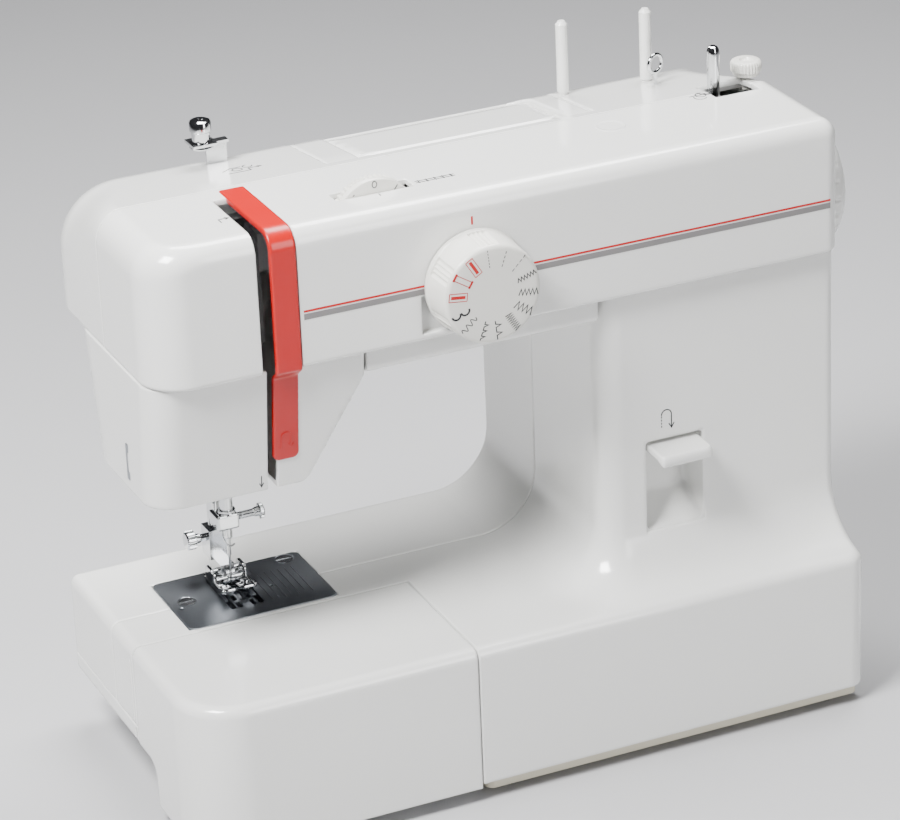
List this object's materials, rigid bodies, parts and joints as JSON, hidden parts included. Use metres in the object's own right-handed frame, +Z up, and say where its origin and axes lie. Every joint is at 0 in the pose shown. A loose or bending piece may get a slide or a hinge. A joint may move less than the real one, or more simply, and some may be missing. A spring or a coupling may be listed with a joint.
{
  "type": "sewing machine",
  "caption": "Free-arm domestic sewing machine with a removable accessory box, stitch dial, reverse lever, bobbin winder and handwheel.",
  "frame": {"origin": "centre of the bounding box at the level of the feet", "axes": "+X from the needle towards the handwheel, +Y away from the operator, +Z up"},
  "size_m": [0.3714, 0.1676, 0.323],
  "materials": {
    "white": "gloss",
    "offwhite": "satin",
    "beige": "matte",
    "red": "gloss",
    "black": "matte",
    "rubber": "matte",
    "steel": "brushed",
    "chrome": "polished",
    "cast": "as cast"
  },
  "bodies": {
    "machine": {"base_plate": "beige", "feet": "rubber", "front_cover": "white", "rear_cover": "white", "arm_tray": "white", "arm_under_cover": "white", "top_cover": "white", "top_rear_cover": "white", "face_cover": "white", "red_strip": "red", "thread_cutter": "steel", "needle_plate": "steel", "plate_screws": "chrome", "lamp": "offwhite", "spool_pins": "white", "wire_loop": "chrome", "pretension_bracket": "chrome", "pretension_knob": "chrome", "plug_cap": "white", "tension_unit": "steel", "lever_pocket": "white", "frame": "cast", "timing_belt": "rubber", "drive_belt": "rubber", "motor": "black", "power_inlet": "black", "race_ring": "steel", "bobbin_case": "steel"},
    "extension_box": {"accessory_box": "white"},
    "drive": {"main_shaft": "steel", "needle_crank": "steel", "handwheel": "white"},
    "clutch": {"clutch_knob": "white"},
    "low_drive": {"lower_shaft": "steel"},
    "rotor": {"motor_pulley": "steel"},
    "hook": {"hook_driver": "steel", "shuttle_hook": "steel"},
    "bobbin": {"bobbin": "steel"},
    "door": {"shuttle_door": "white"},
    "needle_unit": {"needle_bar": "chrome", "needle_clamp": "chrome", "needle": "chrome"},
    "needle_screw": {"clamp_screw": "chrome"},
    "presser": {"presser_bar": "chrome", "foot_holder": "chrome"},
    "foot_screw": {"thumb_screw": "chrome"},
    "foot": {"presser_foot": "chrome"},
    "lifter": {"presser_lever": "black"},
    "take_up": {"take_up_lever": "chrome"},
    "feed": {"feed_dog": "steel"},
    "reverse": {"reverse_lever": "white"},
    "stitch_dial": {"pattern_dial": "offwhite", "pattern_cams": "black"},
    "tension": {"tension_wheel": "offwhite"},
    "handle": {"carrying_handle": "white"},
    "winder": {"winder_arm": "steel"},
    "spindle": {"winder_spindle": "chrome", "winder_tyre": "rubber"},
    "stopper": {"winder_stopper": "offwhite"}
  },
  "joints": [
    {"name": "box_off", "type": "slide", "parent": "machine", "child": "extension_box", "axis": [-1, 0, 0], "range_m": [0, 0.16]},
    {"name": "main_turn", "type": "hinge", "parent": "machine", "child": "drive", "pos_m": [0.15975, 0.00775, 0.238], "axis": [1, 0, 0], "continuous": true},
    {"name": "clutch_turn", "type": "hinge", "parent": "drive", "child": "clutch", "pos_m": [0.17975, 0.00775, 0.238], "axis": [1, 0, 0], "range_deg": [0, 120]},
    {"name": "low_turn", "type": "hinge", "parent": "machine", "child": "low_drive", "pos_m": [0, 0.046, 0.056], "axis": [1, 0, 0], "continuous": true},
    {"name": "motor_turn", "type": "hinge", "parent": "machine", "child": "rotor", "pos_m": [0.13375, 0, 0.045], "axis": [1, 0, 0], "continuous": true},
    {"name": "hook_swing", "type": "hinge", "parent": "machine", "child": "hook", "pos_m": [-0.12225, 0.03015, 0.053], "axis": [0, 1, 0], "range_deg": [-105, 105]},
    {"name": "bobbin_turn", "type": "hinge", "parent": "machine", "child": "bobbin", "pos_m": [-0.12225, 0.01515, 0.053], "axis": [0, 1, 0], "continuous": true},
    {"name": "door_drop", "type": "hinge", "parent": "machine", "child": "door", "pos_m": [-0.12225, -0.00205, 0.044], "axis": [1, 0, 0], "range_deg": [0, 90]},
    {"name": "needle_stroke", "type": "slide", "parent": "machine", "child": "needle_unit", "axis": [0, 0, 1], "range_m": [-0.011, 0.019]},
    {"name": "needle_screw_turn", "type": "hinge", "parent": "needle_unit", "child": "needle_screw", "pos_m": [-0.10625, 0.03015, 0.117], "axis": [1, 0, 0], "range_deg": [0, 360]},
    {"name": "presser_lift", "type": "slide", "parent": "machine", "child": "presser", "axis": [0, 0, 1], "range_m": [0, 0.0055]},
    {"name": "foot_screw_turn", "type": "hinge", "parent": "presser", "child": "foot_screw", "pos_m": [-0.13425, 0.04815, 0.1005], "axis": [1, 0, 0], "range_deg": [0, 360]},
    {"name": "foot_tilt", "type": "hinge", "parent": "presser", "child": "foot", "pos_m": [-0.12225, 0.03715, 0.0877], "axis": [1, 0, 0], "range_deg": [-6, 1.5]},
    {"name": "lifter_turn", "type": "hinge", "parent": "machine", "child": "lifter", "pos_m": [-0.10825, 0.05975, 0.2], "axis": [0, 1, 0], "range_deg": [-46, 0]},
    {"name": "take_up_swing", "type": "hinge", "parent": "machine", "child": "take_up", "pos_m": [-0.13025, 0.01395, 0.26], "axis": [1, 0, 0], "range_deg": [0, 50]},
    {"name": "feed_stroke", "type": "slide", "parent": "machine", "child": "feed", "axis": [0, 1, 0], "range_m": [-0.0023, 0.0023]},
    {"name": "reverse_press", "type": "hinge", "parent": "machine", "child": "reverse", "pos_m": [0.0735, -0.03825, 0.143], "axis": [1, 0, 0], "range_deg": [0, 14], "stiffness_Nm_per_rad": 0.1, "springref_deg": -11.46},
    {"name": "stitch_turn", "type": "hinge", "parent": "machine", "child": "stitch_dial", "pos_m": [-0.02825, -0.05625, 0.251], "axis": [0, 1, 0], "continuous": true},
    {"name": "tension_turn", "type": "hinge", "parent": "machine", "child": "tension", "pos_m": [-0.06475, -0.02925, 0.2785], "axis": [0, 1, 0], "range_deg": [-150, 150]},
    {"name": "handle_lift", "type": "hinge", "parent": "machine", "child": "handle", "pos_m": [0, 0.01675, 0.2868], "axis": [1, 0, 0], "range_deg": [0, 100]},
    {"name": "winder_swing", "type": "hinge", "parent": "machine", "child": "winder", "pos_m": [0.1466, 0.0276, 0.271], "axis": [0, 0, 1], "range_deg": [0, 29.9]},
    {"name": "spindle_turn", "type": "hinge", "parent": "winder", "child": "spindle", "pos_m": [0.12875, 0.01035, 0.28], "axis": [0, 0, 1], "continuous": true},
    {"name": "stopper_turn", "type": "hinge", "parent": "machine", "child": "stopper", "pos_m": [0.15125, 0.01745, 0.292], "axis": [0, 0, 1], "range_deg": [-180, 180]}
  ],
  "couplings": [
    {"joint": "low_turn", "follows": "main_turn", "ratio": 1},
    {"joint": "motor_turn", "follows": "main_turn", "ratio": 3.82}
  ]
}
